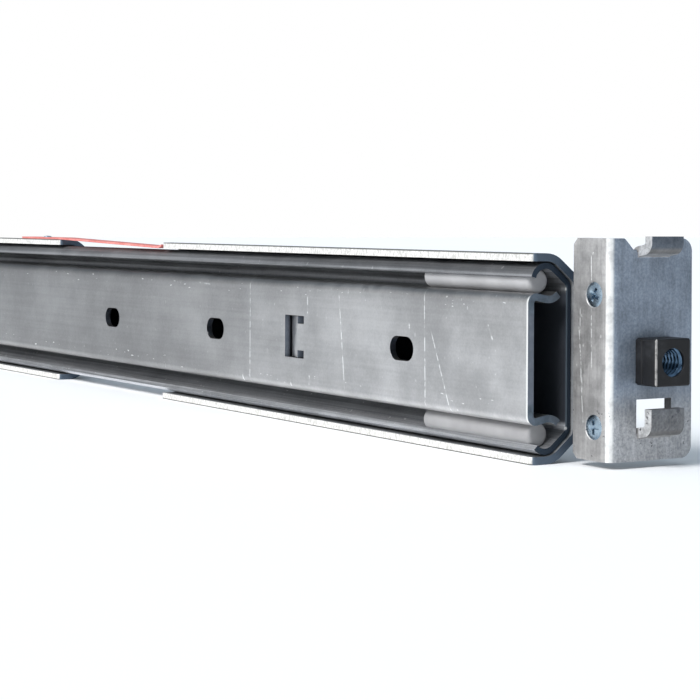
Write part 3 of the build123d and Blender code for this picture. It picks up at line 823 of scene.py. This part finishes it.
def nuts(node, material):
    """Hexagon nuts with chamfered corners."""
    low, high, middle = box_of(node)
    flats, bore, height = NUT_HALF_FLATS, NUT_BORE_RADIUS, high.y - low.y
    reach = flats / cos(pi / 6)
    face = flats * 0.94
    profile = [(0, bore), (0, face), (0, reach), (height, reach), (height, face), (height, bore)]

    def shaped(along, radius, angle):
        if radius != reach:
            return along, radius
        side = flats / cos((angle + pi / 6) % (pi / 3) - pi / 6)
        drop = max(0.0, side - face) * tan(radians(30))
        return (along + drop if along == 0 else along - drop), side

    centre = low.x + (high.x - low.x) / 2
    meshes = []
    for x in (centre - STUD_SPREAD / 2, centre + STUD_SPREAD / 2):
        meshes.append(placed(lathed(profile, 72, True, shaped), (x, low.y, middle.z), "+Y"))
    add_piece(f"{node}_hexagons", joined(meshes), node, material)


def dome(radius, height, count=6):
    """Profile of a domed head from its rim to its crown."""
    angles = [i * pi / 2 / count for i in range(count)]
    return [*((height * sin(a), radius * cos(a)) for a in angles), (height, 0)]


def rivets(node, axis, shank, head_depth, places, material):
    """Pins with domed heads at their far ends, starting at the given places."""
    low, high, _ = box_of(node)
    length = (high.z - low.z) if axis == "+Z" else (high.y - low.y)
    head = ((high.x - low.x) - (places[-1][0] - places[0][0])) / 2
    body = length - head_depth
    profile = [(0, 0), (0, shank), (body, shank), *[(body + a, r) for a, r in dome(head, head_depth)]]
    meshes = [placed(lathed(profile, 48), place, axis) for place in places]
    add_piece(f"{node}_domed", joined(meshes), node, material)


def make_floor(material):
    mesh = bpy.data.meshes.new("floor")
    corners = [(-FLOOR_REACH, -FLOOR_REACH), (FLOOR_REACH, -FLOOR_REACH)]
    corners += [(FLOOR_REACH, FLOOR_REACH), (-FLOOR_REACH, FLOOR_REACH)]
    mesh.from_pydata([(x, y, FLOOR_Z) for x, y in corners], [], [(0, 1, 2, 3)])
    floor = bpy.data.objects.new("floor", mesh)
    bpy.context.scene.collection.objects.link(floor)
    mesh.materials.append(material)


make_camera()
make_sun()
make_surround()
make_floor(floor_paint())

ZINC = zinc()
DARK_ZINC = dark_zinc()
NYLON = nylon()
NOSE_LOW, NOSE_HIGH, _ = box_of("front_nose_block")
# The listed corner gets a painted highlight along the nose block's front left edge.
NOSE = black_plastic("nose_plastic", 0.5, [(NOSE_HIGH.x / MM, NOSE_LOW.y / MM + 0.2, 0.3)])

dressed("inner_member", web_steel(), EDGE_ROUNDING)
dressed("outer_member", rail_steel(), EDGE_ROUNDING)
SLEEVE = sleeve_steel()
PLATE = plate_steel()
for end in ("front", "rear"):
    dressed(f"{end}_sleeve", SLEEVE, EDGE_ROUNDING)
    dressed(f"{end}_bracket", PLATE, EDGE_ROUNDING)
    dressed(f"{end}_nose_block", NOSE, EDGE_ROUNDING)
    screws(f"{end}_bracket_screws", ZINC)
    glide(f"upper_{end}_glide", NYLON)
    glide(f"lower_{end}_glide", NYLON)
threaded_insert("front_thread_insert", "+X", DARK_ZINC)
threaded_insert("rear_thread_insert", "-X", DARK_ZINC)

STUD_LOW, STUD_HIGH, _ = box_of("clamp_studs")
STUD_SPREAD = (STUD_HIGH.x - STUD_LOW.x) - (STUD_HIGH.z - STUD_LOW.z)
studs("clamp_studs", ZINC)
washers("clamp_washers", ZINC)
nuts("clamp_nuts", ZINC)

RIVET_LOW, RIVET_HIGH, RIVET_MIDDLE = box_of("sleeve_rivets")
RIVET_HEAD = (RIVET_HIGH.z - RIVET_LOW.z) / 2
RIVET_ENDS = (RIVET_LOW.x + RIVET_HEAD, RIVET_HIGH.x - RIVET_HEAD)
RIVET_PLACES = [(x, RIVET_LOW.y, RIVET_MIDDLE.z) for x in RIVET_ENDS]
rivets("sleeve_rivets", "+Y", 2.0 * MM, 1.1 * MM, RIVET_PLACES, ZINC)
PIVOT_LOW, _, PIVOT_MIDDLE = box_of("lever_pivot")
PIVOT_PLACE = (PIVOT_MIDDLE.x, PIVOT_LOW.y, PIVOT_MIDDLE.z)
rivets("lever_pivot", "+Y", 1.6 * MM, 0.8 * MM, [PIVOT_PLACE], ZINC)
LEAF_PIN_LOW, _, LEAF_PIN_MIDDLE = box_of("leaf_rivet")
LEAF_PIN_PLACE = (LEAF_PIN_MIDDLE.x, LEAF_PIN_MIDDLE.y, LEAF_PIN_LOW.z)
rivets("leaf_rivet", "+Z", 1.2 * MM, 0.4 * MM, [LEAF_PIN_PLACE], ZINC)

dressed("rear_bumper", rubber(), BUMPER_ROUNDING)
dressed("release_lever", black_plastic("lever_plastic", 0.2), LEVER_ROUNDING)
dressed("tension_leaf", red_paint(), LEAF_ROUNDING)
